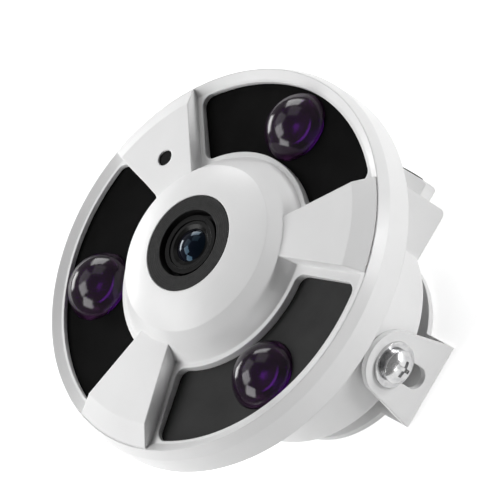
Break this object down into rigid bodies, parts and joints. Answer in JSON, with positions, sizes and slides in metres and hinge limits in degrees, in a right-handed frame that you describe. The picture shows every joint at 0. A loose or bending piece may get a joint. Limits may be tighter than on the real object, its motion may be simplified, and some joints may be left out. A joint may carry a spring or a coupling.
{
  "type": "panoramic security camera",
  "caption": "Disc-shaped panoramic security camera with a raised lens hood, black infrared windows with dome lenses, and a round housing tilting in a slotted U bracket.",
  "frame": {"origin": "Centre of the bracket's round foot, on the face that meets the wall or ceiling.", "axes": "+Z points away from the mounting surface and out of the lens, X runs along the two pivot screws, +Y points to the cable outlet."},
  "size_m": [0.1176, 0.1176, 0.0746],
  "materials": {
    "white_steel": "powder coat, satin",
    "zinc_steel": "zinc plated",
    "white_plastic": "moulded, satin",
    "black_rubber": "matte",
    "panel_black": "fine grain",
    "dome_black": "polished, infrared clear",
    "inner_white": "matte",
    "led_aluminium": "white solder mask",
    "emitter": "clear epoxy",
    "plate_aluminium": "plain sheet",
    "dark_pipe": "smoked",
    "cell_brown": "matte",
    "board_green": "solder mask",
    "bezel_grey": "fine grain",
    "barrel_metal": "black anodised, bright rim",
    "retainer_black": "matte",
    "lens_glass": "coated, polished",
    "inner_black": "matte",
    "filter_red": "interference coated",
    "filter_clear": "polished",
    "magnet_steel": "plain",
    "coil_copper": "enamelled wire",
    "sensor_chip": "cover glass",
    "chip_black": "moulded",
    "standoff_brass": "turned"
  },
  "bodies": {
    "bracket": {"mount_bracket": "white_steel"},
    "carriage": {"pivot_screws": "zinc_steel", "spring_washers": "zinc_steel", "flat_washers": "zinc_steel"},
    "camera": {"front_cover": "white_plastic", "rear_housing": "white_plastic", "cover_gasket": "black_rubber", "cover_screws": "zinc_steel", "window_panel_1": "panel_black", "window_panel_2": "panel_black", "window_panel_3": "panel_black", "dome_lens_1": "dome_black", "dome_lens_2": "dome_black", "dome_lens_3": "dome_black", "dome_spacer_1": "inner_white", "dome_spacer_2": "inner_white", "dome_spacer_3": "inner_white", "led_board_1": "led_aluminium", "led_board_2": "led_aluminium", "led_board_3": "led_aluminium", "led_emitter_1": "emitter", "led_emitter_2": "emitter", "led_emitter_3": "emitter", "led_screws": "zinc_steel", "light_plate": "plate_aluminium", "light_pipe": "dark_pipe", "photocell": "cell_brown", "photocell_board": "board_green", "lens_bezel": "bezel_grey", "lens_seal": "black_rubber", "lens_barrel": "barrel_metal", "lens_retainer": "retainer_black", "front_glass": "lens_glass", "middle_glass": "lens_glass", "rear_glass": "lens_glass", "lens_holder": "inner_black", "filter_tray": "inner_black", "filter_coil": "coil_copper", "filter_screws": "zinc_steel", "image_sensor": "sensor_chip", "sensor_board": "board_green", "main_board": "board_green", "processor": "chip_black", "power_board": "board_green", "capacitors": "chip_black", "upper_spacers": "zinc_steel", "middle_standoffs": "standoff_brass", "lower_standoffs": "standoff_brass", "board_screws": "zinc_steel", "cable_bush": "white_plastic", "cable_grommet": "black_rubber", "bush_nut": "zinc_steel"},
    "shuttle": {"filter_shuttle": "inner_black", "ir_filter": "filter_red", "clear_filter": "filter_clear"},
    "rotor": {"filter_rotor": "magnet_steel"}
  },
  "joints": [
    {"name": "height_slide", "type": "slide", "parent": "bracket", "child": "carriage", "axis": [0, 0, 1], "range_m": [-0.0025, 0]},
    {"name": "camera_tilt", "type": "hinge", "parent": "carriage", "child": "camera", "pos_m": [0, 0, 0.0188], "axis": [1, 0, 0], "range_deg": [-9, 9]},
    {"name": "filter_drive", "type": "hinge", "parent": "camera", "child": "rotor", "pos_m": [0, -0.0152, 0.0545], "axis": [0, 0, -1], "range_deg": [0, 50]},
    {"name": "filter_slide", "type": "slide", "parent": "camera", "child": "shuttle", "axis": [1, 0, 0], "range_m": [0, 0.0076]}
  ],
  "couplings": [
    {"joint": "filter_drive", "follows": "filter_slide", "rad_per_m": 114.82}
  ]
}
